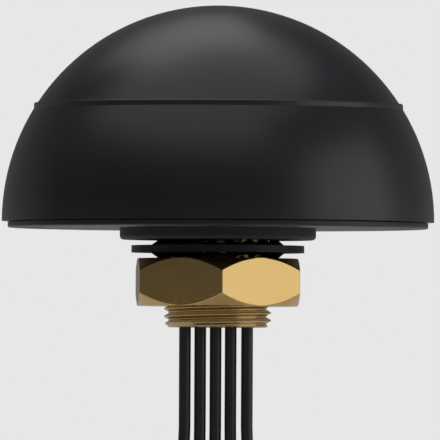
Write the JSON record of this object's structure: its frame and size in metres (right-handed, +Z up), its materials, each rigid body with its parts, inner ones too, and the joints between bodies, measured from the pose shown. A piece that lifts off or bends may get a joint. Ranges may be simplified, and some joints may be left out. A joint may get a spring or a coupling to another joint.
{
  "type": "mimo roof antenna",
  "caption": "Low domed roof antenna with a hollow threaded stud, gasket, toothed lock washer and hex nut, and thin coaxial leads ending in screw plugs.",
  "frame": {"origin": "centre of the gasket's underside, where the antenna meets the roof", "axes": "+Z up out of the roof along the stud, -Y the front as pictured, +X to the right in that view"},
  "size_m": [0.1027, 0.1026, 0.1768],
  "materials": {
    "radome": "satin black moulding",
    "base": "fine texture",
    "rubber": "matt black",
    "black_steel": "black phosphate",
    "screw_steel": "zinc plated",
    "brass": "turned and milled, bright",
    "circuit_board": "solder mask",
    "tinned_sheet": "tin plated",
    "patch_ceramic": "fired, unglazed",
    "nylon": "natural",
    "lead_jacket": "satin black",
    "sleeve": "shrunk black tube",
    "plug_metal": "gold plated"
  },
  "bodies": {
    "antenna": {"radome_cap": "radome", "radome_skirt": "radome", "base_plate": "base", "rim_seal": "rubber", "base_screws": "screw_steel", "mounting_stud": "brass", "lead_grommet": "rubber", "roof_gasket": "rubber", "lock_washer": "black_steel", "hex_nut": "brass", "feed_board": "circuit_board", "board_screws": "screw_steel", "low_band_element_1": "tinned_sheet", "low_band_element_2": "tinned_sheet", "high_band_element_1": "tinned_sheet", "high_band_element_2": "tinned_sheet", "gnss_board": "circuit_board", "gnss_patch": "patch_ceramic", "gnss_shield": "tinned_sheet", "gnss_spacers": "nylon", "lead_1": "lead_jacket", "lead_1_coil": "lead_jacket", "plug_1_sleeve": "sleeve", "plug_1_body": "plug_metal", "lead_2": "lead_jacket", "lead_2_coil": "lead_jacket", "plug_2_sleeve": "sleeve", "plug_2_body": "plug_metal", "lead_3": "lead_jacket", "lead_3_coil": "lead_jacket", "plug_3_sleeve": "sleeve", "plug_3_body": "plug_metal", "lead_4": "lead_jacket", "lead_4_coil": "lead_jacket", "plug_4_sleeve": "sleeve", "plug_4_body": "plug_metal", "lead_5": "lead_jacket", "lead_5_coil": "lead_jacket", "plug_5_sleeve": "sleeve", "plug_5_body": "plug_metal"},
    "coupling_nut_1": {"plug_1_nut": "plug_metal"},
    "coupling_nut_2": {"plug_2_nut": "plug_metal"},
    "coupling_nut_3": {"plug_3_nut": "plug_metal"},
    "coupling_nut_4": {"plug_4_nut": "plug_metal"},
    "coupling_nut_5": {"plug_5_nut": "plug_metal"}
  },
  "joints": [
    {"name": "coupling_nut_1_turn", "type": "hinge", "parent": "antenna", "child": "coupling_nut_1", "pos_m": [-0.0244, 0, -0.118], "axis": [0, 0, 1], "continuous": true},
    {"name": "coupling_nut_2_turn", "type": "hinge", "parent": "antenna", "child": "coupling_nut_2", "pos_m": [-0.0138, 0, -0.118], "axis": [0, 0, 1], "continuous": true},
    {"name": "coupling_nut_3_turn", "type": "hinge", "parent": "antenna", "child": "coupling_nut_3", "pos_m": [0.0032, 0, -0.118], "axis": [0, 0, 1], "continuous": true},
    {"name": "coupling_nut_4_turn", "type": "hinge", "parent": "antenna", "child": "coupling_nut_4", "pos_m": [0.0138, 0, -0.118], "axis": [0, 0, 1], "continuous": true},
    {"name": "coupling_nut_5_turn", "type": "hinge", "parent": "antenna", "child": "coupling_nut_5", "pos_m": [0.0244, 0, -0.118], "axis": [0, 0, 1], "continuous": true}
  ]
}
